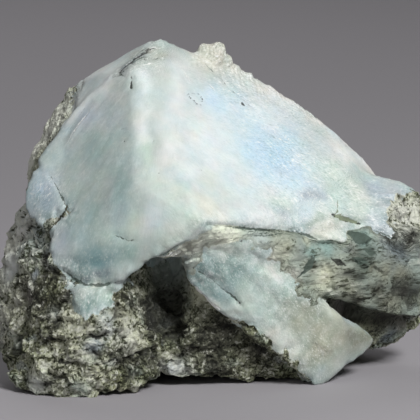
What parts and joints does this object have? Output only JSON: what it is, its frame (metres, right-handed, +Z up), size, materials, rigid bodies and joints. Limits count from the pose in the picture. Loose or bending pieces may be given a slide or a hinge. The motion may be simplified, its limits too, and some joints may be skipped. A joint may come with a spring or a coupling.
{
  "type": "rough larimar",
  "caption": "Rough larimar: a smooth, pale blue crown and spur of pectolite grown through coarse grey-green volcanic rock, standing on small worn flats.",
  "frame": {"origin": "on the surface the stone stands on, under the middle of its bounding box", "axes": "+Z up, -Y towards the viewer of the broken pectolite face, +X to that viewer's right along the longest side"},
  "size_m": [0.057, 0.0406, 0.043],
  "materials": {
    "larimar": "broken stone: smooth silky pale blue-white pectolite, and rough grey-green rock with cream grains"
  },
  "bodies": {
    "root": {"larimar_stone": "larimar"}
  },
  "joints": []
}
